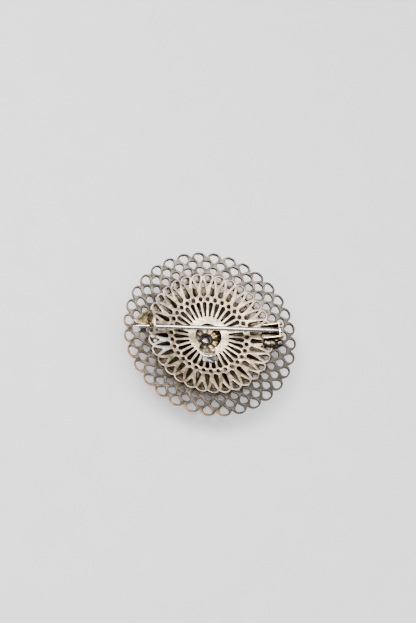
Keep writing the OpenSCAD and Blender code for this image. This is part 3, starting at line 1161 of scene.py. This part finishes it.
def make_catch_hook():
    """A leg up from the plate, and an arch over the pin that ends in a thinner lip."""
    along = Vector((1, 0, 0))
    leg_steps, arch_steps, lip_steps = 4, 40, 3
    path = []
    for i in range(leg_steps):
        spot = Vector((CATCH_X, HOOK_Y + HOOK_R, HOOK_Z * i / leg_steps))
        path.append((spot, along, Vector((0, 1, 0)), 1.0))
    for i in range(arch_steps + 1):
        angle = (math.pi - HOOK_LIP_ANGLE) * i / arch_steps
        out = Vector((0, math.cos(angle), math.sin(angle)))
        thin = 0.16 * max(0, i - arch_steps + lip_steps)
        path.append((Vector((CATCH_X, HOOK_Y, HOOK_Z)) + out * HOOK_R, along, out, 1.0 - thin))
    mesh = sweep(path, domed_strip(HOOK_W, HOOK_T))
    place("catch_hook_strip", mesh, "catch_hook", HOOK_METAL)


def make_catch_solder():
    mesh = blob([
        (-15.3, -1.35, -0.78, 0.8, 0.24), (-14.7, -2.6, -1.0, 0.6, 0.18),
        (CATCH_X, HOOK_Y + HOOK_R + 0.4, 0.0, 0.62, 0.3),
    ], lumps=0.05, seed=11, voxel=0.06)
    place("bright_solder_run", mesh, "catch_solder", SOLDER_SILVER, smooth=ALL_SMOOTH)


# ---- floor, light and camera ----

CAMERA_AZIMUTH = -32.7
CAMERA_ELEVATION = 60.91
CAMERA_ROLL = 31.41
CAMERA_AIM = Vector((-0.512, 5.6, RIM_Z))
CAMERA_DISTANCE = 293.1
CAMERA_LENS = 65.3


def make_floor():
    size = 1.5
    work = bmesh.new()
    bmesh.ops.create_grid(work, x_segments=4, y_segments=4, size=size)
    mesh = finished_mesh(work, "floor")
    mesh.materials.append(floor_paint())
    floor = bpy.data.objects.new("floor", mesh)
    scene.collection.objects.link(floor)


def look(azimuth, elevation):
    """Unit vector from the brooch towards a viewer at these angles, in degrees."""
    a, e = math.radians(azimuth), math.radians(elevation)
    return Vector((math.sin(a) * math.cos(e), -math.cos(a) * math.cos(e), math.sin(e)))


def make_light(name, azimuth, elevation, distance, size, watts, colour=(1, 1, 1)):
    """A round soft light, aimed at the brooch. distance and size are in metres."""
    lamp = bpy.data.lights.new(name, "AREA")
    lamp.shape = "DISK"
    lamp.size = size
    lamp.energy = watts
    lamp.color = colour
    holder = bpy.data.objects.new(name, lamp)
    scene.collection.objects.link(holder)
    toward = look(azimuth, elevation)
    holder.location = toward * distance
    holder.rotation_euler = toward.to_track_quat("Z", "Y").to_euler()


def make_world():
    """A dim pale surround, dark in one patch as high as the camera and mirrored from it in X."""
    pale, dark = (0.92, 0.95, 1.0, 1), (0.1, 0.1, 0.1, 1)
    world = bpy.data.worlds.new("studio")
    world.use_nodes = True
    tree = world.node_tree
    sky = tree.nodes["Background"]
    sky.inputs["Strength"].default_value = 0.17
    aim = tree.nodes.new("ShaderNodeTexCoord")
    side = tree.nodes.new("ShaderNodeVectorMath")
    side.operation = "DOT_PRODUCT"
    side.inputs[1].default_value = look(-CAMERA_AZIMUTH, CAMERA_ELEVATION)
    tree.links.new(aim.outputs["Generated"], side.inputs[0])
    ramp = tree.nodes.new("ShaderNodeValToRGB")
    for stop, place_on_ramp, colour in zip(ramp.color_ramp.elements, (0.93, 0.98), (pale, dark)):
        stop.position = place_on_ramp
        stop.color = colour
    tree.links.new(side.outputs["Value"], ramp.inputs["Fac"])
    tree.links.new(ramp.outputs["Color"], sky.inputs["Color"])
    scene.world = world


def make_camera():
    lens = bpy.data.cameras.new("camera")
    lens.lens = CAMERA_LENS
    lens.sensor_width = 36
    lens.clip_start = 0.01
    camera = bpy.data.objects.new("camera", lens)
    scene.collection.objects.link(camera)
    toward = look(CAMERA_AZIMUTH, CAMERA_ELEVATION)
    camera.location = (CAMERA_AIM + toward * CAMERA_DISTANCE) * MM
    camera.rotation_mode = "QUATERNION"
    upright = toward.to_track_quat("Z", "Y")
    roll = Matrix.Rotation(math.radians(CAMERA_ROLL), 4, "Z").to_quaternion()
    camera.rotation_quaternion = upright @ roll
    scene.camera = camera


make_outer_net()
make_back_rosette()
make_joint_solder()
make_centre_cup()
make_centre_tube()
make_centre_post()
make_hole_lip()
make_lip_solder()
make_flowers()
make_claw_setting()
make_stone()
make_hinge_fork()
make_hinge_rivet()
make_hinge_solder()
make_pin()
make_catch_plate()
make_catch_hook()
make_catch_solder()
make_floor()
make_world()
make_light("key", -110, 64, distance=0.6, size=0.3, watts=8.3, colour=(1.0, 0.975, 0.94))
make_light("fill", 70, 58, distance=0.7, size=0.5, watts=2.5, colour=(0.93, 0.96, 1.0))
make_light("top", 150, 80, distance=0.7, size=0.4, watts=5.5)
make_light("front", -20, 32, distance=0.7, size=0.14, watts=1.1, colour=(0.94, 0.96, 1.0))
make_camera()
